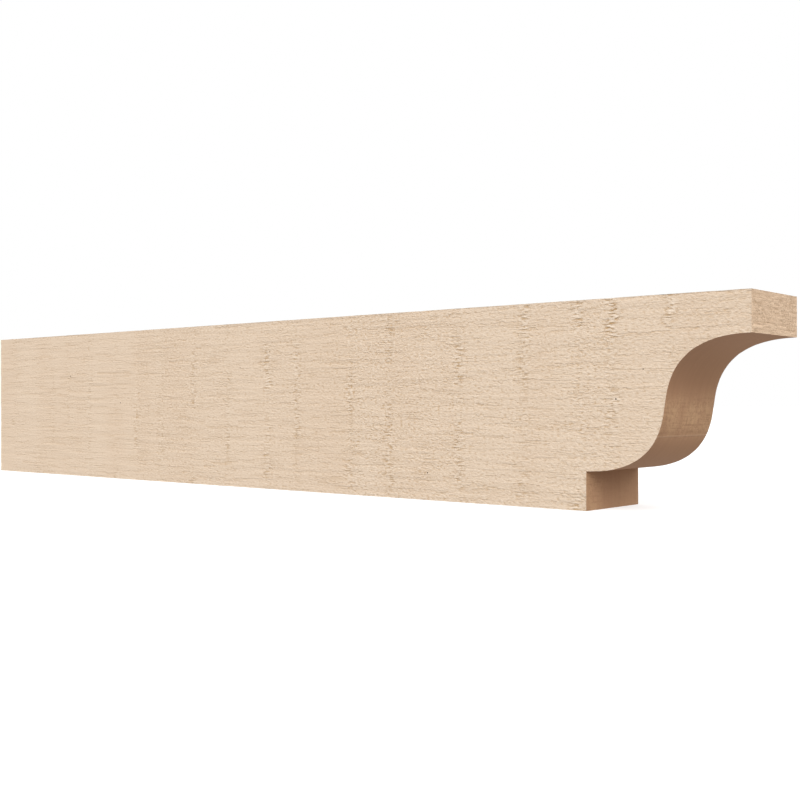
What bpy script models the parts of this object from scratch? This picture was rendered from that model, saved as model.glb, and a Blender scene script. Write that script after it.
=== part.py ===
"""A rafter tail: the shaped end of a roof rafter, as one length of sawn timber with an ogee cut under its nose.

It stands on its underside, with the origin at the middle of its footprint. +X runs along the timber to the nose, and
the two broad sides face -Y and +Y.
"""

from math import cos, pi, radians, sin

import bpy
from mathutils import Vector

# Driving dimensions, in metres
TIMBER_LENGTH = 0.9144
TIMBER_WIDTH = 0.0762
TIMBER_HEIGHT = 0.1524
NOSE_HEIGHT = 0.0288
HEEL_HEIGHT = 0.0288
OGEE_RUN = 0.1240

# The ogee's form: the slope of its steep middle off the vertical, and how firmly the curve holds its direction at each
# end, as a share of half the run, and at the middle, as a share of half the rise
FLANK_LEAN = radians(9.4)
END_PULL = 0.94
FLANK_PULL = 0.25
STEPS_PER_HALF = 24

WOOD_COLOUR = (0.62, 0.48, 0.35, 1.0)
WOOD_ROUGHNESS = 0.8


def clear_scene():
    for obj in list(bpy.data.objects):
        bpy.data.objects.remove(obj, do_unlink=True)


def new_collection(name):
    collection = bpy.data.collections.new(name)
    bpy.context.scene.collection.children.link(collection)
    return collection


def rough_sawn_wood():
    material = bpy.data.materials.new("rough_sawn_wood")
    material.use_nodes = True
    shader = material.node_tree.nodes["Principled BSDF"]
    shader.inputs["Base Color"].default_value = WOOD_COLOUR
    shader.inputs["Roughness"].default_value = WOOD_ROUGHNESS
    shader.inputs["Metallic"].default_value = 0.0
    return material


def set_point(point, place, handle_in=None, handle_out=None):
    """Puts an outline point at its place. A side without a handle is straight, and a handle is an offset."""
    point.co = place.to_3d()
    point.handle_left_type = "FREE" if handle_in else "VECTOR"
    point.handle_right_type = "FREE" if handle_out else "VECTOR"
    if handle_in:
        point.handle_left = (place + handle_in).to_3d()
    if handle_out:
        point.handle_right = (place + handle_out).to_3d()


def side_outline():
    """The timber's side as a closed flat curve, x along the timber and y up, anticlockwise from its back foot."""
    nose_x = TIMBER_LENGTH / 2
    back_x = -nose_x
    heel_x = nose_x - OGEE_RUN
    half_run = OGEE_RUN / 2
    half_rise = (TIMBER_HEIGHT - NOSE_HEIGHT - HEEL_HEIGHT) / 2

    along = Vector((half_run * END_PULL, 0.0))
    up_flank = Vector((sin(FLANK_LEAN), cos(FLANK_LEAN))) * half_rise * FLANK_PULL

    back_foot = Vector((back_x, 0.0))
    heel_foot = Vector((heel_x, 0.0))
    heel_top = Vector((heel_x, HEEL_HEIGHT))
    mid_flank = heel_top + Vector((half_run, half_rise))
    nose_foot = Vector((nose_x, TIMBER_HEIGHT - NOSE_HEIGHT))
    nose_top = Vector((nose_x, TIMBER_HEIGHT))
    back_top = Vector((back_x, TIMBER_HEIGHT))

    outline = (
        (back_foot,),
        (heel_foot,),
        (heel_top, None, along),
        (mid_flank, -up_flank, up_flank),
        (nose_foot, -along),
        (nose_top,),
        (back_top,),
    )

    curve = bpy.data.curves.new("rafter_tail", "CURVE")
    curve.dimensions = "2D"
    curve.resolution_u = STEPS_PER_HALF
    spline = curve.splines.new("BEZIER")
    spline.bezier_points.add(len(outline) - 1)
    for point, stated in zip(spline.bezier_points, outline):
        set_point(point, *stated)
    spline.use_cyclic_u = True
    return curve


def rafter_tail(collection, wood):
    """The side's outline given the timber's width, and stood up on its underside."""
    curve = side_outline()
    curve.fill_mode = "BOTH"
    curve.extrude = TIMBER_WIDTH / 2
    curve.materials.append(wood)
    timber = bpy.data.objects.new("rafter_tail", curve)
    timber.rotation_euler = (pi / 2, 0.0, 0.0)
    collection.objects.link(timber)
    return timber


def main():
    clear_scene()
    collection = new_collection("rafter_tail")
    rafter_tail(collection, rough_sawn_wood())


main()
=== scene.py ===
"""Dresses the rafter tail: rough-sawn timber, with real relief for its saw marks, on a plain pale floor.

The timber's skin is one closed mesh over the CAD solid. Each of its faces is a grid whose points lie a
little below the solid's own face, by the depth of the saw's marks there. Units are metres, in the CAD's
frame: +X to the nose.

In the names of values, a CELL is how large a texture's features are along each axis, a RANGE is the
stretch of the texture's values over which its mark comes in, and a TINT is how strongly that mark takes
its colour.
"""

from math import radians

import bmesh
import bpy
import numpy as np
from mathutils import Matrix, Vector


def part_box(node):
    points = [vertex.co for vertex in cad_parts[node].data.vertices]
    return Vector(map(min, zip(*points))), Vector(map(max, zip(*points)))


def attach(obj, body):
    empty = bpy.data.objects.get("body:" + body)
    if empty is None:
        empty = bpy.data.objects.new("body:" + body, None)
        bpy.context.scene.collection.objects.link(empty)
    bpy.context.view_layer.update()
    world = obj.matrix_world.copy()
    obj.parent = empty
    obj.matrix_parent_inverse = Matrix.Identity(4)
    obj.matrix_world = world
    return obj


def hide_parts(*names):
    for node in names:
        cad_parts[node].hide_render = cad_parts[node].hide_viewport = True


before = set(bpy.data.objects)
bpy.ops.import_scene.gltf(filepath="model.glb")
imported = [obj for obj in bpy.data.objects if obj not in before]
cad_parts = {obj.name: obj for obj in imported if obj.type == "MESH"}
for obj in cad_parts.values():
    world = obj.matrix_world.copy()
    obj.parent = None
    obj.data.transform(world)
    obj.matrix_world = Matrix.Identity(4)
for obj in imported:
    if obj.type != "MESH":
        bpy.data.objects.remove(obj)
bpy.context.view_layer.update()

NODE = "rafter_tail"
BACK_X, NEAR_Y, UNDER_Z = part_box(NODE)[0]
NOSE_X, FAR_Y, TOP_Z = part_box(NODE)[1]

# Where the saw paused, as distances back from the nose. The first are given, the rest at random
FIRST_MARKS = (0.059, 0.103, 0.132, 0.178, 0.240, 0.312, 0.358, 0.421, 0.461, 0.514, 0.563)
MARK_GAPS = (0.028, 0.062)
MARK_REACH = 0.0046
SEED = 1544

# The grid of the skin: how many cells each stretch has, and the narrow first cell along every arris
COLUMNS = 168
OGEE_COLUMNS = 54
HEEL_ROWS = 32
UPPER_ROWS = 132
CROSS_ROWS = 34
RIM = 0.0007

# How much closer together the columns stand beside a mark, how far from it, and in how many trial steps
CROWDING = 2.2
CROWDING_REACH = 1.4 * MARK_REACH
COLUMN_SAMPLES = 4000

# The sheets of the skin: the place of each one's material in the list of materials, and its own seed
SAWN, END, CUT = range(3)
MATERIAL_OF = {
    "near": SAWN, "far": SAWN, "top": SAWN, "under": SAWN,
    "nose": END, "back": END,
    "heel": CUT, "ogee": CUT,
}
SEED_OF = {
    "near": 1544, "far": 1644, "top": 1744, "under": 1844,
    "nose": 2044, "back": 2054,
    "heel": 2144, "ogee": 2244,
}

# What the skin tells its materials, as attributes of the mesh
# Of these, low and dark are painted shade, which the materials darken
READINGS = ("low", "torn", "mark", "force", "end_grain", "dark")

# How many values every random table has each way, and the middle of the values of every noise
TABLE_SIZE = 256
MIDDLE = 0.5

# The arrises: how far they are eased, how much deeper their nicks go, the share that they take of each
# face's depth, and the angle from which an edge is shaded as sharp
ARRIS_EASE = 0.00005
ARRIS_NICK = 0.00015
ARRIS_SHARE = 0.5
NICK_CELL = (0.006, 0.006)
NICK_RANGE = (0.62, 1.0)
SHARP_ANGLE = radians(55)

# How hard the saw bit in each stroke: least at the back end and most at the peak, given as a share of the
# strokes, with some chance
FORCE_LEAST = 0.37
FORCE_RISE = 0.40
FORCE_PEAK = 0.8
FORCE_CHANCE = 0.20

# The marks: their force, what is left of it at the back end, how far they stray from straight lines, and
# the patches that they come in. Both cells are a share of one mark long, so that no two marks are alike
MARK_FORCE = (0.60, 1.0)
BACK_FADE = 0.30
STRAY = 0.006
STRAY_CELL = (1 / 7.3, 0.005)
PATCH_CELL = (1 / 3.7, 0.020)
PATCH_RANGE = (0.36, 0.70)
PATCH_LEAST = 0.2

# Torn patches anywhere else
TEAR_CELL = (0.040, 0.015)
TEAR_RANGE = (0.66, 0.95)
TEAR_FORCE = 0.7

# The relief of a rough-sawn face. It has streaks of three sizes, each as its length along the grain, its
# width across it and its depth, which are deeper where the saw bit harder and wander across the grain. It
# also has a step from one stroke to the next, torn fibres, and a shallow trench at each mark
STREAKS = ((0.090, 0.0036, 0.00017), (0.045, 0.0025, 0.00022), (0.016, 0.0017, 0.00020))
STREAK_LEAST = 0.5
STREAK_BY_FORCE = 0.55
# Where the streaks lie deepest, which the material darkens as painted shade in the hollows
HOLLOW_SHADE_RANGE = (0.45, 0.80)
WANDER = 0.0014
WANDER_CELL = (0.120, 0.020)
BAND_DEPTH = 0.00010
TEAR_DEPTH = 0.00024
RAG_CELL = (0.0050, 0.0021)
TRENCH_DEPTH = 0.00006

# The relief of the square-cut ends: saw lines and mottle
END_DEPTH = 0.00030
END_LINE_CELL = (0.012, 0.0015)
END_MOTTLE_CELL = (0.0030, 0.0024)
END_LINE_SHARE = 0.6
# Where the relief lies deepest, which the material darkens as painted shade in the hollows
END_HOLLOW_SHADE_RANGE = (0.45, 0.9)

# The relief of the curved cut: ripples and strokes, and the share left of them where no end grain shows
CUT_DEPTH = 0.00014
CUT_RIPPLE_CELL = (0.0040, 0.050)
CUT_STROKE_CELL = (0.030, 0.0030)
CUT_RIPPLE_SHARE = 0.7
CUT_LEAST = 0.4

# How much end grain shows. On the ogee it comes in over the first stretch of height and goes over the
# second, and on the heel it falls from the near side's share to the far side's by the middle
GRAIN_FOOT = (0.0480, 0.0610)
GRAIN_HEAD = (0.0700, 0.0925)
HEEL_GRAIN_NEAR = 0.8
HEEL_GRAIN_FAR = 0.2

# Painted shade on the curved cut, as darker stretches: one along the ogee's near side, as far as its end, a
# level one above the ogee's end grain, and an upright one on the heel
NEAR_PAINTED_SHADE = 0.20
NEAR_PAINTED_SHADE_END = 0.010
HIGH_PAINTED_SHADE = 0.14
HIGH_PAINTED_SHADE_Z = 0.0920
HIGH_PAINTED_SHADE_REACH = 0.0100
HEEL_PAINTED_SHADE = 0.34
HEEL_PAINTED_SHADE_Y = -0.014
HEEL_PAINTED_SHADE_REACH = 0.028

# A pale line of painted highlight across the ogee, which also stands a little proud, and half the height of
# the band of painted shade just above it
HIGHLIGHT_LINE_Z = 0.0545
SHADE_BAND_HALF = 0.0025

# Colours of the timber, in linear light
PALE_TAN = (0.676, 0.545, 0.419)
WARM_TAN = (0.660, 0.524, 0.397)
# Painted shade for the grooves of the rough sides
GROOVE_SHADE_BROWN = (0.430, 0.264, 0.118)
# Painted highlight for the ridges of the rough sides
RIDGE_HIGHLIGHT_CREAM = (0.800, 0.685, 0.565)
PIN_BROWN = (0.080, 0.045, 0.025)
END_TAN = (0.745, 0.556, 0.393)
END_BROWN = (0.440, 0.285, 0.170)
CUT_TAN = (0.600, 0.378, 0.214)
CUT_BROWN = (0.465, 0.263, 0.149)
CUT_DARK = (0.340, 0.180, 0.100)

# How dull the timber is
SAWN_ROUGHNESS = 0.85
CUT_ROUGHNESS = 0.7
WOOD_SPECULAR = 0.25

# The photo's framing
CAMERA_PLACE = (0.768, -0.750, 0.0768)
CAMERA_TURN = radians(40.64)
LENS = 51.58
SHIFT_UP = 0.0057

# The studio: a soft key light from the near side and a weak one from the far side, each as its power,
# tilt and turn, and a fill that is weakest level with the timber and changes over a stretch of height below
# it and one above it, under a white backdrop
KEY = (2.72, radians(54), radians(26))
SIDE = (0.75, radians(60), radians(134))
SUN_ANGLE = radians(50)
FILL_ABOVE = (0.90, 0.90, 0.90)
FILL_LEVEL = (0.33, 0.31, 0.29)
FILL_BELOW = (0.65, 0.63, 0.63)
FILL_HEAD = (0.10, 0.75)
FILL_FOOT = (-0.90, -0.20)
BACKDROP = (1.0, 1.0, 1.0)
FLOOR_SIZE = 60.0
FLOOR_COLOUR = (0.55, 0.55, 0.55)
FLOOR_GLOW = 0.58


def smoothed(t):
    """From 0 to 1 with level ends, for a t from 0 to 1."""
    return t * t * (3 - 2 * t)


def smooth_noise(along, across, cell, seed):
    """Smooth random heights from 0 to 1 over a plane, with one random value at each corner of its cells."""
    table = np.random.default_rng(seed).random((TABLE_SIZE, TABLE_SIZE))
    u = along / cell[0]
    v = across / cell[1]
    column = np.floor(u).astype(int)
    row = np.floor(v).astype(int)
    s = smoothed(u - column)
    t = smoothed(v - row)
    left = column % TABLE_SIZE
    right = (column + 1) % TABLE_SIZE
    low = row % TABLE_SIZE
    high = (row + 1) % TABLE_SIZE
    low_edge = table[left, low] * (1 - s) + table[right, low] * s
    high_edge = table[left, high] * (1 - s) + table[right, high] * s
    return low_edge * (1 - t) + high_edge * t


def ramp(values, low, high):
    """0 up to low, 1 from high, and smooth between."""
    return smoothed(np.clip((values - low) / (high - low), 0.0, 1.0))


def saw_marks():
    """The x of each place where the saw paused, from the back end to the nose."""
    rng = np.random.default_rng(SEED)
    back = list(FIRST_MARKS)
    while back[-1] < NOSE_X - BACK_X:
        back.append(back[-1] + rng.uniform(*MARK_GAPS))
    return np.array(sorted(NOSE_X - distance for distance in back[:-1]))


MARKS = saw_marks()


def rough_sawn(x, across, seed):
    """A rough-sawn face at x along the grain: its depth, and what its material reads, by name."""
    rng = np.random.default_rng(seed)
    strokes = len(MARKS) + 1
    stroke = np.searchsorted(MARKS, x)
    step = rng.random(strokes)[stroke]
    rise = np.linspace(0.0, 1.0, strokes)
    force = FORCE_LEAST + FORCE_RISE * np.minimum(rise, 2 * FORCE_PEAK - rise)
    force = (force + FORCE_CHANCE * rng.random(strokes))[stroke]
    mark_force = rng.uniform(*MARK_FORCE, len(MARKS)) * np.linspace(BACK_FADE, 1.0, len(MARKS))

    nearest = np.abs(x[:, None] - MARKS[None, :]).argmin(axis=1)
    stray = STRAY * (smooth_noise(nearest, across, STRAY_CELL, seed + 1) - MIDDLE)
    beside = np.exp(-(((x - MARKS[nearest] + stray) / MARK_REACH) ** 2))
    patch = ramp(smooth_noise(nearest, across, PATCH_CELL, seed + 2), *PATCH_RANGE)
    mark = beside * (PATCH_LEAST + (1 - PATCH_LEAST) * patch) * mark_force[nearest]
    tear = TEAR_FORCE * ramp(smooth_noise(x, across, TEAR_CELL, seed + 3), *TEAR_RANGE)
    torn = np.clip(mark + tear, 0.0, 1.0)

    wandering = across + WANDER * smooth_noise(x, across, WANDER_CELL, seed + 4)
    streaks = np.zeros_like(x)
    for order, (length, width, depth) in enumerate(STREAKS):
        streaks += depth * smooth_noise(x, wandering, (length, width), seed + 5 + order)
    # Painted shade: the deep parts of the streaks, read as low
    low = ramp(streaks / sum(depth for _, _, depth in STREAKS), *HOLLOW_SHADE_RANGE)
    rag = smooth_noise(x, across, RAG_CELL, seed + 9)

    bite = STREAK_LEAST + STREAK_BY_FORCE * force
    depth = streaks * bite + BAND_DEPTH * step + TEAR_DEPTH * rag * torn + TRENCH_DEPTH * mark
    return depth, {"low": low * force, "torn": torn, "mark": mark, "force": force}


def end_cut(y, z, seed):
    """An end: fine saw lines across the thickness over mottled end grain."""
    lines = smooth_noise(y, z, END_LINE_CELL, seed)
    mottle = smooth_noise(y, z, END_MOTTLE_CELL, seed + 1)
    relief = END_LINE_SHARE * lines + (1 - END_LINE_SHARE) * mottle
    return END_DEPTH * relief, {"low": ramp(relief, *END_HOLLOW_SHADE_RANGE)}


def smooth_cut(run, y, end_grain, dark, seed):
    """The band-sawn ogee and heel: faint ripples and strokes, rougher where they show end grain."""
    ripples = smooth_noise(run, y, CUT_RIPPLE_CELL, seed)
    strokes = smooth_noise(run, y, CUT_STROKE_CELL, seed + 1)
    relief = CUT_RIPPLE_SHARE * ripples + (1 - CUT_RIPPLE_SHARE) * strokes
    relief *= CUT_LEAST + (1 - CUT_LEAST) * end_grain
    # The dark reading is painted shade, passed on to the material as it is
    return CUT_DEPTH * relief, {"end_grain": end_grain, "dark": dark}


def ogee_line():
    """The ogee's own points on the CAD solid, as rows of (x, z) from the heel's top to the nose's foot."""
    corners = {(round(v.co.x, 6), round(v.co.z, 6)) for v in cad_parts[NODE].data.vertices}
    return np.array(sorted(c for c in corners if UNDER_Z + RIM < c[1] < TOP_Z - RIM))


def curve_through(points, stations):
    """A smooth curve through the points, read at the given distances along it: places and unit tangents."""
    run = np.r_[0.0, np.cumsum(np.hypot(*np.diff(points, axis=0).T))]
    slopes = np.gradient(points, run, axis=0)
    i = np.clip(np.searchsorted(run, stations) - 1, 0, len(run) - 2)
    span = (run[i + 1] - run[i])[:, None]
    t = (stations - run[i])[:, None] / span
    start, end = points[i], points[i + 1]
    pull_in, pull_out = slopes[i] * span, slopes[i + 1] * span
    places = (
        (2 * t**3 - 3 * t**2 + 1) * start
        + (t**3 - 2 * t**2 + t) * pull_in
        + (3 * t**2 - 2 * t**3) * end
        + (t**3 - t**2) * pull_out
    )
    tangents = (
        (6 * t**2 - 6 * t) * start
        + (3 * t**2 - 4 * t + 1) * pull_in
        + (6 * t - 6 * t**2) * end
        + (3 * t**2 - 2 * t) * pull_out
    )
    return places, tangents / np.linalg.norm(tangents, axis=1)[:, None]


def steps(low, high, count):
    """Even steps from low to high, with a narrow rim at both ends."""
    return np.r_[low, np.linspace(low + RIM, high - RIM, count - 1), high]


def straight_columns(heel_x):
    """The x of each column from the back end to the heel, closer together beside the saw's marks."""
    x = np.linspace(BACK_X + RIM, heel_x - RIM, COLUMN_SAMPLES)
    beside = np.exp(-(((x[:, None] - MARKS[None, :]) / CROWDING_REACH) ** 2)).sum(axis=1)
    run = np.r_[0.0, np.cumsum(np.diff(x) * (1 + CROWDING * beside[1:]))]
    return np.r_[BACK_X, np.interp(np.linspace(0.0, run[-1], COLUMNS - 1), run, x), heel_x]


class Skin:
    """Grids of points that share their borders, gathered into one closed mesh."""

    def __init__(self):
        self.points = []
        self.quads = []
        self.sheets = []
        self.count = 0

    def add(self, sheet, x, y, z):
        """A grid from three arrays that broadcast to its rows and columns."""
        x, y, z = np.broadcast_arrays(x, y, z)
        ids = np.arange(x.size).reshape(x.shape) + self.count
        self.points.append(np.stack([x, y, z], axis=-1).reshape(-1, 3))
        quads = np.stack([ids[:-1, :-1], ids[1:, :-1], ids[1:, 1:], ids[:-1, 1:]], axis=-1).reshape(-1, 4)
        self.quads.append(quads)
        self.sheets += [sheet] * len(quads)
        self.count += x.size

    def joined(self):
        """The points with those that coincide made one, the quads, and each quad's sheet."""
        points = np.concatenate(self.points)
        _, first, index = np.unique(np.round(points, 7), axis=0, return_index=True, return_inverse=True)
        return points[first], index.reshape(-1)[np.concatenate(self.quads)], np.array(self.sheets)


def timber_grid():
    """The skin before its relief, and the ogee's stations, places and tangents."""
    line = ogee_line()
    heel_x, heel_z = line[0]
    length = np.hypot(*np.diff(line, axis=0).T).sum()
    stations = steps(0.0, length, OGEE_COLUMNS)
    places, tangents = curve_through(line, stations)
    places[0], places[-1] = line[0], line[-1]
    inner = places + RIM * np.stack([-tangents[:, 1], tangents[:, 0]], axis=1)
    inner[0, 0], inner[-1, 0] = heel_x, NOSE_X

    straight = straight_columns(heel_x)
    column_x = np.r_[straight, inner[1:, 0]]
    foot_x = np.r_[straight, places[1:, 0]]
    foot_z = np.r_[np.full(len(straight), heel_z), places[1:, 1]]
    inner_z = np.r_[np.full(len(straight), heel_z + RIM), inner[1:, 1]]
    share = np.linspace(0.0, 1.0, UPPER_ROWS - 1)[:, None]
    upper_x = np.vstack([foot_x, np.broadcast_to(column_x, (UPPER_ROWS, len(column_x)))])
    upper_z = np.vstack([foot_z, inner_z + (TOP_Z - RIM - inner_z) * share, np.full(len(column_x), TOP_Z)])

    heel_rows = steps(UNDER_Z, heel_z, HEEL_ROWS)
    across = steps(NEAR_Y, FAR_Y, CROSS_ROWS)
    back_rows = np.r_[heel_rows[:-1], upper_z[:, 0]]

    skin = Skin()
    for name, y in (("near", NEAR_Y), ("far", FAR_Y)):
        skin.add(name, upper_x, y, upper_z)
        skin.add(name, straight, y, heel_rows[:, None])
    skin.add("top", column_x, across[:, None], TOP_Z)
    skin.add("under", straight, across[:, None], UNDER_Z)
    skin.add("heel", heel_x, across[:, None], heel_rows)
    skin.add("ogee", places[:, 0], across[:, None], places[:, 1])
    skin.add("nose", NOSE_X, across[:, None], upper_z[:, -1])
    skin.add("back", BACK_X, across[:, None], back_rows)
    return skin.joined(), (stations, places, tangents)


def heel_relief(points):
    """The heel: the way into it, its depth and its readings. End grain shows most at its near side."""
    y, z = points[:, 1], points[:, 2]
    end_grain = HEEL_GRAIN_NEAR + (HEEL_GRAIN_FAR - HEEL_GRAIN_NEAR) * ramp(y, NEAR_Y, 0.0)
    # Painted shade: an upright darker stretch down the heel's middle
    dark = HEEL_PAINTED_SHADE * np.exp(-(((y - HEEL_PAINTED_SHADE_Y) / HEEL_PAINTED_SHADE_REACH) ** 2))
    return (-1, 0, 0), *smooth_cut(z, y, end_grain, dark, SEED_OF["heel"])


def ogee_relief(points, stations, places, tangents):
    """The ogee: the way into it at each point, its depth and its readings."""
    nearest = ((points[:, None, [0, 2]] - places[None]) ** 2).sum(axis=2).argmin(axis=1)
    inward = np.stack([-tangents[nearest, 1], np.zeros(len(points)), tangents[nearest, 0]], axis=1)
    y, z = points[:, 1], points[:, 2]
    end_grain = ramp(z, *GRAIN_FOOT) * (1 - ramp(z, *GRAIN_HEAD))
    # Painted shade: darker along the near side, and in a level band above the end grain
    dark = NEAR_PAINTED_SHADE * (1 - ramp(y, NEAR_Y, NEAR_PAINTED_SHADE_END))
    dark += HIGH_PAINTED_SHADE * np.exp(-(((z - HIGH_PAINTED_SHADE_Z) / HIGH_PAINTED_SHADE_REACH) ** 2))
    return inward, *smooth_cut(stations[nearest], y, end_grain, dark, SEED_OF["ogee"])


def sheet_reliefs(points, on, ogee):
    """For each sheet: the way into the timber, the depth of its points, and its material's readings."""
    reliefs = {}
    sides = (
        ("near", 2, (0, 1, 0)),
        ("far", 2, (0, -1, 0)),
        ("top", 1, (0, 0, -1)),
        ("under", 1, (0, 0, 1)),
    )
    for sheet, across_axis, inward in sides:
        p = points[on[sheet]]
        reliefs[sheet] = inward, *rough_sawn(p[:, 0], p[:, across_axis], SEED_OF[sheet])
    for sheet, inward in (("nose", (-1, 0, 0)), ("back", (1, 0, 0))):
        p = points[on[sheet]]
        reliefs[sheet] = inward, *end_cut(p[:, 1], p[:, 2], SEED_OF[sheet])
    reliefs["heel"] = heel_relief(points[on["heel"]])
    reliefs["ogee"] = ogee_relief(points[on["ogee"]], *ogee)
    return reliefs


def carving(points, quads, sheets, ogee):
    """How far each point moves into the timber, and each reading at the quads' corners. A point on an
    arris takes its share of the depth of each of its faces, with the arris's own easing and nicks."""
    on = {sheet: np.zeros(len(points), bool) for sheet in MATERIAL_OF}
    for sheet, mask in on.items():
        mask[quads[sheets == sheet]] = True
    arris = sum(mask.astype(int) for mask in on.values()) > 1
    nick = ramp(smooth_noise(points[:, 0], points[:, 2], NICK_CELL, SEED), *NICK_RANGE)
    easing = ARRIS_EASE + ARRIS_NICK * nick

    moves = np.zeros_like(points)
    readings = {name: np.zeros(quads.shape) for name in READINGS}
    for sheet, (inward, depth, read) in sheet_reliefs(points, on, ogee).items():
        mask = on[sheet]
        depth = np.where(arris[mask], ARRIS_SHARE * depth + easing[mask], depth)
        moves[mask] += np.asarray(inward) * depth[:, None]
        for name, values in read.items():
            spread = np.zeros(len(points))
            spread[mask] = values
            readings[name][sheets == sheet] = spread[quads[sheets == sheet]]
    return moves, readings


def timber_mesh(points, quads, sheets, readings, materials):
    """The carved skin as a mesh, with its materials and readings, and its faces pointing out."""
    mesh = bpy.data.meshes.new("timber")
    mesh.from_pydata(points.tolist(), [], quads.tolist())
    for material in materials:
        mesh.materials.append(material)
    mesh.polygons.foreach_set("material_index", [MATERIAL_OF[sheet] for sheet in sheets])
    for name, values in readings.items():
        mesh.attributes.new(name, "FLOAT", "CORNER").data.foreach_set("value", values.ravel())

    work = bmesh.new()
    work.from_mesh(mesh)
    bmesh.ops.recalc_face_normals(work, faces=work.faces)
    work.to_mesh(mesh)
    work.free()
    mesh.shade_smooth()
    mesh.set_sharp_from_angle(angle=SHARP_ANGLE)
    return mesh


def timber_skin(materials):
    """The finished timber, as one closed mesh. Its materials are given in the order SAWN, END, CUT."""
    (points, quads, sheets), ogee = timber_grid()
    moves, readings = carving(points, quads, sheets, ogee)
    mesh = timber_mesh(points + moves, quads, sheets, readings, materials)
    timber = bpy.data.objects.new("timber", mesh)
    bpy.context.scene.collection.objects.link(timber)
    return timber


def new_node(tree, kind, inputs=None, **settings):
    """A shader node with its settings and inputs: a value, or the socket that feeds it."""
    node = tree.nodes.new("ShaderNode" + kind)
    for name, value in settings.items():
        setattr(node, name, value)
    for name, value in (inputs or {}).items():
        if isinstance(value, bpy.types.NodeSocket):
            tree.links.new(value, node.inputs[name])
        elif isinstance(value, tuple) and node.inputs[name].type == "RGBA":
            node.inputs[name].default_value = (*value, 1.0)
        else:
            node.inputs[name].default_value = value
    return node


def noise(tree, place, cell, detail=2.0, roughness=0.5):
    """Noise whose features are about a cell wide along X, Y and Z."""
    scale = tuple(1 / size for size in cell)
    scaled = new_node(tree, "VectorMath", {0: place, 1: scale}, operation="MULTIPLY")
    inputs = {"Vector": scaled.outputs[0], "Scale": 1.0, "Detail": detail, "Roughness": roughness}
    return new_node(tree, "TexNoise", inputs).outputs["Fac"]


def between(tree, value, low, high, to_low=0.0, to_high=1.0):
    """The value's stretch from low to high, mapped smoothly."""
    inputs = {"Value": value, "From Min": low, "From Max": high, "To Min": to_low, "To Max": to_high}
    return new_node(tree, "MapRange", inputs, interpolation_type="SMOOTHSTEP").outputs["Result"]


def mixed(tree, share, start, end):
    """Two colours mixed by a share."""
    return new_node(tree, "Mix", {0: share, 6: start, 7: end}, data_type="RGBA").outputs[2]


def compute(tree, operation, first, second=0.0, third=0.0):
    """One operation on up to three values."""
    return new_node(tree, "Math", {0: first, 1: second, 2: third}, operation=operation).outputs[0]


def times(tree, first, second):
    """The first value times the second."""
    return compute(tree, "MULTIPLY", first, second)


def away_from(tree, value, target):
    """How far the value is from the target, either way."""
    return compute(tree, "ABSOLUTE", compute(tree, "SUBTRACT", value, target))


def reading(tree, name):
    """One of the skin's own values, from the mesh."""
    return new_node(tree, "Attribute", attribute_name=name).outputs["Fac"]


def new_material(name, roughness):
    """A material with its node tree, shader and the timber's own coordinates."""
    material = bpy.data.materials.new(name)
    material.use_nodes = True
    tree = material.node_tree
    shader = tree.nodes["Principled BSDF"]
    shader.inputs["Roughness"].default_value = roughness
    shader.inputs["Specular IOR Level"].default_value = WOOD_SPECULAR
    place = new_node(tree, "TexCoord").outputs["Object"]
    return material, tree, shader, place


def finish_material(tree, shader, colour, depth, bump_depth):
    """Joins the colour to the shader, and a fine bump of the given depth, which counts into the wood."""
    inputs = {"Height": depth, "Distance": bump_depth, "Strength": 1.0}
    bump = new_node(tree, "Bump", inputs, invert=True)
    tree.links.new(bump.outputs[0], shader.inputs["Normal"])
    tree.links.new(colour, shader.inputs["Base Color"])


# The rough sides: broad clouds, and fibres and broken lines along the grain, by the saw stroke's force. The
# fibres and lines are cut into the bump and darkened as painted shade
BROAD_CELL = (0.050, 0.30, 0.30)
BROAD_RANGE = (0.35, 0.65)
LINE_LEAST = 0.30
LINE_BY_FORCE = 0.80
FIBRE_CELL = (0.055, 0.0019, 0.0019)
FIBRE_RANGE = (0.51, 0.72)
FIBRE_TINT = 0.14
THREAD_CELL = (0.070, 0.0030, 0.0030)
THREAD_RANGE = (0.07, 0.02)
BREAK_CELL = (0.032, 0.0026, 0.0026)
BREAK_RANGE = (0.47, 0.58)
LINE_TINT = 0.24
LINE_DEPTH = 0.36
# Painted shade in the low parts of the skin
HOLLOW_SHADE_TINT = 0.04

# Their chatter, which grows with the square of the force. It makes the lines sway, and it gives ripples
# with dark ticks of painted shade in their hollows and pale crests of painted highlight
CHATTER = 1.75
SWAY = 0.0050
SWAY_CELL = (0.0075, 0.0060, 0.0060)
RIPPLE_CELL = (0.0028, 0.0014, 0.0014)
SPECK_CELL = (0.0015, 0.0013, 0.0013)
SPECK_SHARE = 0.6
RIPPLE_DEPTH = 0.95
TICK_RANGE = (0.55, 0.70)
TORN_TICK = 0.22
CHATTER_TICK = 0.42
CREST_HIGHLIGHT_RANGE = (0.46, 0.34)
CREST_HIGHLIGHT_TINT = 0.38

# Their dashes where the saw paused, cut into the bump and darkened as painted shade, with pale glints of
# painted highlight beside them, and their pinholes
DASH_CELL = (0.0075, 0.0014, 0.0014)
DASH_RANGE = (0.54, 0.61)
PAINTED_GLINT_RANGE = (0.46, 0.38)
PAINTED_GLINT_TINT = 0.90
PINS_PER_METRE = 42.0
PIN_RANGE = (0.030, 0.014)

# How deep a full mark is in the bump of the sides and ends
SAWN_BUMP = 0.0005


def swaying(tree, place, force):
    """The place, moved across the grain by gentle waves that grow with the force."""
    wave = compute(tree, "SUBTRACT", noise(tree, place, SWAY_CELL, detail=1.0), MIDDLE)
    shift = times(tree, times(tree, wave, force), SWAY)
    across = new_node(tree, "CombineXYZ", {"Y": shift, "Z": shift}).outputs[0]
    return new_node(tree, "VectorMath", {0: place, 1: across}, operation="ADD").outputs[0]


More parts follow.
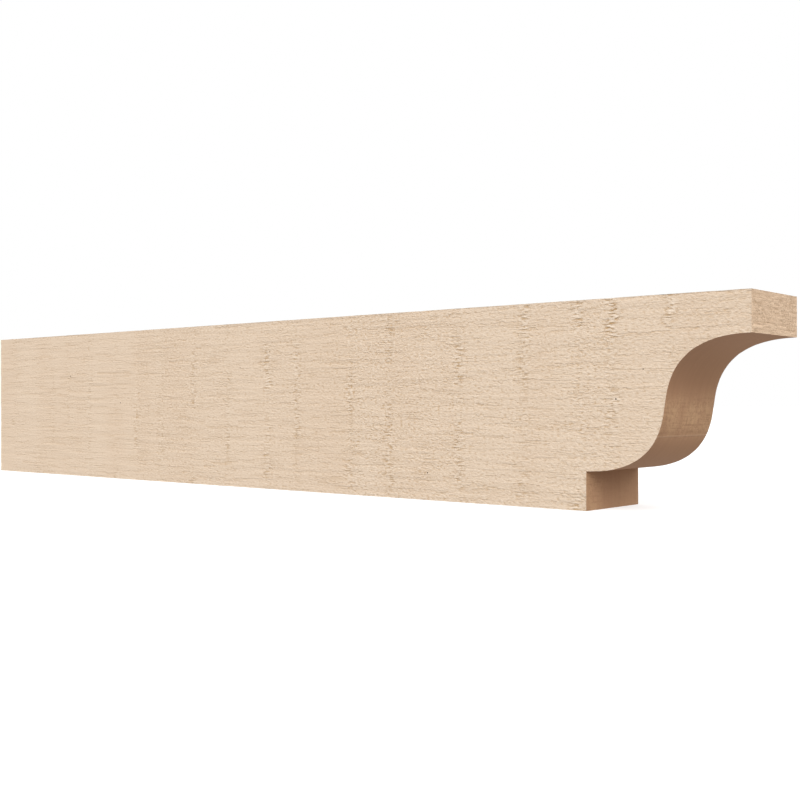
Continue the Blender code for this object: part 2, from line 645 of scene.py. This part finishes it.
def rough_side():
    """Pale rough-sawn wood: level lines, and short ticks and crests where a saw stroke is rough, with
    dashes where the saw paused, and a few pinholes. The lines, ticks and dashes and the low parts are
    darkened as painted shade, and the crests and the glints beside the dashes are painted highlights."""
    material, tree, shader, place = new_material("rough_side", SAWN_ROUGHNESS)
    mark = reading(tree, "mark")
    stroke = reading(tree, "force")
    force = compute(tree, "MULTIPLY_ADD", stroke, LINE_BY_FORCE, LINE_LEAST)
    chatter = times(tree, times(tree, stroke, stroke), CHATTER)

    wavy = swaying(tree, place, chatter)
    fibres = noise(tree, wavy, FIBRE_CELL)
    threads = noise(tree, wavy, THREAD_CELL, detail=1.0)
    breaks = noise(tree, place, BREAK_CELL)
    ripple = noise(tree, place, RIPPLE_CELL, detail=1.0, roughness=0.6)
    speck = noise(tree, place, SPECK_CELL, detail=1.0)
    dashes = noise(tree, place, DASH_CELL, detail=1.0)
    pins = new_node(tree, "TexVoronoi", {"Vector": place, "Scale": PINS_PER_METRE}).outputs["Distance"]

    fibre = times(tree, between(tree, fibres, *FIBRE_RANGE), force)
    thread = between(tree, away_from(tree, threads, MIDDLE), *THREAD_RANGE)
    line = times(tree, times(tree, thread, between(tree, breaks, *BREAK_RANGE)), force)
    crest_highlight = times(tree, between(tree, ripple, *CREST_HIGHLIGHT_RANGE), chatter)
    painted_glint = times(tree, between(tree, dashes, *PAINTED_GLINT_RANGE), mark)
    tick_force = times(tree, chatter, CHATTER_TICK)
    tick_force = compute(tree, "MULTIPLY_ADD", reading(tree, "torn"), TORN_TICK, tick_force)
    tick = times(tree, between(tree, ripple, *TICK_RANGE), tick_force)
    dash = times(tree, between(tree, dashes, *DASH_RANGE), mark)
    pin = between(tree, pins, *PIN_RANGE)

    colour = mixed(tree, between(tree, noise(tree, place, BROAD_CELL), *BROAD_RANGE), PALE_TAN, WARM_TAN)
    # Painted shade in the hollows and grooves, and painted highlight on the crests and glints
    marks = (
        (times(tree, reading(tree, "low"), HOLLOW_SHADE_TINT), GROOVE_SHADE_BROWN),
        (times(tree, fibre, FIBRE_TINT), GROOVE_SHADE_BROWN),
        (times(tree, line, LINE_TINT), GROOVE_SHADE_BROWN),
        (times(tree, crest_highlight, CREST_HIGHLIGHT_TINT), RIDGE_HIGHLIGHT_CREAM),
        (times(tree, painted_glint, PAINTED_GLINT_TINT), RIDGE_HIGHLIGHT_CREAM),
        (tick, GROOVE_SHADE_BROWN),
        (dash, GROOVE_SHADE_BROWN),
        (pin, PIN_BROWN),
    )
    for share, mark_colour in marks:
        colour = mixed(tree, share, colour, mark_colour)

    rough = times(tree, compute(tree, "MULTIPLY_ADD", speck, SPECK_SHARE, ripple), chatter)
    depth = compute(tree, "MULTIPLY_ADD", rough, RIPPLE_DEPTH, times(tree, fibres, force))
    cuts = compute(tree, "MULTIPLY_ADD", line, LINE_DEPTH, dash)
    depth = compute(tree, "ADD", depth, compute(tree, "MAXIMUM", cuts, pin))
    finish_material(tree, shader, colour, depth, SAWN_BUMP)
    return material


# The square-cut ends: mottled spots, stronger in some patches than in others, and scores left by the saw
SPOT_CELL = (0.0024, 0.0026, 0.0015)
SPOT_RANGE = (0.42, 0.66)
SPOT_TINT = 0.48
SPOT_DEPTH = 1.2
SPOT_PATCH_CELL = (0.016, 0.020, 0.010)
SPOT_PATCH_RANGE = (0.38, 0.62)
SPOT_PATCH_FORCE = (0.45, 1.1)
SCORE_CELL = (0.0150, 0.0150, 0.0010)
SCORE_RANGE = (0.50, 0.68)
SCORE_TINT = 0.52
SCORE_DEPTH = 0.8
# Painted shade in the low parts of the skin
END_HOLLOW_SHADE_TINT = 0.30


def sawn_end():
    """The square-cut ends: browner, with mottled end grain and fine dark lines across."""
    material, tree, shader, place = new_material("sawn_end", SAWN_ROUGHNESS)
    mottle = noise(tree, place, SPOT_CELL, detail=3.0, roughness=0.65)
    scores = noise(tree, place, SCORE_CELL, detail=3.0, roughness=0.6)
    patches = noise(tree, place, SPOT_PATCH_CELL, detail=1.0)
    force = between(tree, patches, *SPOT_PATCH_RANGE, *SPOT_PATCH_FORCE)
    spots = times(tree, between(tree, mottle, *SPOT_RANGE, to_high=SPOT_TINT), force)
    colour = mixed(tree, spots, END_TAN, END_BROWN)
    colour = mixed(tree, between(tree, scores, *SCORE_RANGE, to_high=SCORE_TINT), colour, END_BROWN)
    # Painted shade in the hollows
    colour = mixed(tree, times(tree, reading(tree, "low"), END_HOLLOW_SHADE_TINT), colour, END_BROWN)
    depth = times(tree, times(tree, mottle, SPOT_DEPTH), force)
    depth = compute(tree, "MULTIPLY_ADD", scores, SCORE_DEPTH, depth)
    finish_material(tree, shader, colour, depth, SAWN_BUMP)
    return material


# The curved cut: streaks where it is smooth, and clouds, streaks, lines and mottle where end grain shows.
# The lines and the mottle are cut in, and the streaks and the painted highlight line stand a little proud.
# A band of painted shade lies just above that line
SMOOTH_STREAK_RANGE = (0.35, 0.70)
SMOOTH_STREAK_TINT = 0.14
CUT_STREAK_CELL = (0.050, 0.0034, 0.050)
CUT_STREAK_RANGE = (0.40, 0.68)
CUT_STREAK_TINT = 0.26
CUT_STREAK_RISE = 0.1
CUT_CLOUD_CELL = (0.030, 0.016, 0.022)
CUT_CLOUD_RANGE = (0.35, 0.65)
CUT_CLOUD_TINT = 0.5
CUT_LINE_CELL = (0.0050, 0.022, 0.0013)
CUT_LINE_RANGE = (0.52, 0.70)
CUT_LINE_TINT = 0.40
CUT_LINE_DEPTH = 0.6
CUT_MOTTLE_CELL = (0.0040, 0.0026, 0.0022)
CUT_MOTTLE_RANGE = (0.50, 0.66)
CUT_MOTTLE_TINT = 0.46
CUT_MOTTLE_DEPTH = 0.8
# Painted shade in a band above the highlight line, and the painted highlight line, which also rises a
# little in the bump
SHADE_BAND_TINT = 0.15
HIGHLIGHT_LEDGE_RANGE = (0.0009, 0.0003)
HIGHLIGHT_LEDGE_TINT = 0.14
HIGHLIGHT_LEDGE_RISE = 0.4
CUT_BUMP = 0.0003


def ogee_cut():
    """The band-sawn ogee and heel: smooth red-brown, turning paler and mottled where end grain shows,
    darkened in stretches by painted shade, with a pale line of painted highlight across the ogee.
    """
    material, tree, shader, place = new_material("ogee_cut", CUT_ROUGHNESS)
    end_grain = reading(tree, "end_grain")
    streaks = noise(tree, place, CUT_STREAK_CELL, detail=3.0, roughness=0.55)
    cloud = noise(tree, place, CUT_CLOUD_CELL)
    lines = noise(tree, place, CUT_LINE_CELL)
    mottle = noise(tree, place, CUT_MOTTLE_CELL, detail=3.0, roughness=0.6)

    smooth_share = between(tree, streaks, *SMOOTH_STREAK_RANGE, to_high=SMOOTH_STREAK_TINT)
    smooth = mixed(tree, smooth_share, CUT_BROWN, CUT_DARK)
    rough = mixed(tree, between(tree, cloud, *CUT_CLOUD_RANGE, to_high=CUT_CLOUD_TINT), CUT_TAN, CUT_BROWN)
    marks = (
        (streaks, CUT_STREAK_RANGE, CUT_STREAK_TINT),
        (lines, CUT_LINE_RANGE, CUT_LINE_TINT),
        (mottle, CUT_MOTTLE_RANGE, CUT_MOTTLE_TINT),
    )
    for texture, stretch, tint in marks:
        rough = mixed(tree, between(tree, texture, *stretch, to_high=tint), rough, CUT_DARK)
    colour = mixed(tree, end_grain, smooth, rough)
    # Painted shade from the dark reading, in the darkest brown
    colour = mixed(tree, reading(tree, "dark"), colour, CUT_DARK)

    height = new_node(tree, "SeparateXYZ", {"Vector": place}).outputs["Z"]
    # Painted shade in a band just above a pale line of painted highlight across the ogee
    band = between(tree, away_from(tree, height, HIGHLIGHT_LINE_Z + SHADE_BAND_HALF), SHADE_BAND_HALF, 0.0)
    highlight_ledge = between(tree, away_from(tree, height, HIGHLIGHT_LINE_Z), *HIGHLIGHT_LEDGE_RANGE)
    colour = mixed(tree, times(tree, band, SHADE_BAND_TINT), colour, CUT_DARK)
    colour = mixed(tree, times(tree, highlight_ledge, HIGHLIGHT_LEDGE_TINT), colour, END_TAN)

    grain = compute(tree, "MULTIPLY_ADD", lines, CUT_LINE_DEPTH, times(tree, mottle, CUT_MOTTLE_DEPTH))
    depth = compute(tree, "MULTIPLY_ADD", grain, end_grain, times(tree, streaks, -CUT_STREAK_RISE))
    depth = compute(tree, "MULTIPLY_ADD", highlight_ledge, -HIGHLIGHT_LEDGE_RISE, depth)
    finish_material(tree, shader, colour, depth, CUT_BUMP)
    return material


def floor():
    """A plain pale floor under the timber. It throws no light back up at it."""
    mesh = bpy.data.meshes.new("floor")
    work = bmesh.new()
    bmesh.ops.create_grid(work, x_segments=1, y_segments=1, size=FLOOR_SIZE / 2)
    work.to_mesh(mesh)
    work.free()
    material = bpy.data.materials.new("floor")
    material.use_nodes = True
    shader = material.node_tree.nodes["Principled BSDF"]
    shader.inputs["Base Color"].default_value = (*FLOOR_COLOUR, 1.0)
    shader.inputs["Roughness"].default_value = 0.9
    shader.inputs["Specular IOR Level"].default_value = 0.1
    shader.inputs["Emission Color"].default_value = (1.0, 1.0, 1.0, 1.0)
    shader.inputs["Emission Strength"].default_value = FLOOR_GLOW
    mesh.materials.append(material)
    sheet = bpy.data.objects.new("floor", mesh)
    sheet.location.z = UNDER_Z
    sheet.visible_diffuse = False
    sheet.visible_glossy = False
    bpy.context.scene.collection.objects.link(sheet)


def light():
    """Two soft suns from beyond the nose, one on each side, and a fill, under a white backdrop."""
    world = bpy.data.worlds.new("studio")
    bpy.context.scene.world = world
    world.use_nodes = True
    tree = world.node_tree
    background = tree.nodes["Background"]
    direction = new_node(tree, "TexCoord").outputs["Generated"]
    height = new_node(tree, "SeparateXYZ", {"Vector": direction}).outputs["Z"]
    fill = mixed(tree, between(tree, height, *FILL_FOOT), FILL_BELOW, FILL_LEVEL)
    fill = mixed(tree, between(tree, height, *FILL_HEAD), fill, FILL_ABOVE)
    seen = new_node(tree, "LightPath").outputs["Is Camera Ray"]
    tree.links.new(mixed(tree, seen, fill, BACKDROP), background.inputs["Color"])
    background.inputs["Strength"].default_value = 1.0

    for name, (power, tilt, turn) in (("key", KEY), ("side", SIDE)):
        sun = bpy.data.objects.new(name, bpy.data.lights.new(name, "SUN"))
        sun.data.energy = power
        sun.data.angle = SUN_ANGLE
        sun.rotation_euler = (tilt, 0.0, turn)
        bpy.context.scene.collection.objects.link(sun)


def camera():
    """The photo's camera: level, at half the timber's height, beyond the nose and to its near side."""
    lens = bpy.data.cameras.new("camera")
    lens.lens = LENS
    lens.sensor_width = 36.0
    lens.shift_y = SHIFT_UP
    lens.clip_start = 0.01
    seen_from = bpy.data.objects.new("camera", lens)
    seen_from.location = CAMERA_PLACE
    seen_from.rotation_euler = (radians(90), 0.0, CAMERA_TURN)
    bpy.context.scene.collection.objects.link(seen_from)
    bpy.context.scene.camera = seen_from
    bpy.context.scene.view_settings.view_transform = "Standard"


def main():
    camera()
    floor()
    light()
    timber = timber_skin((rough_side(), sawn_end(), ogee_cut()))
    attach(timber, "root")
    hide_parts(NODE)


main()
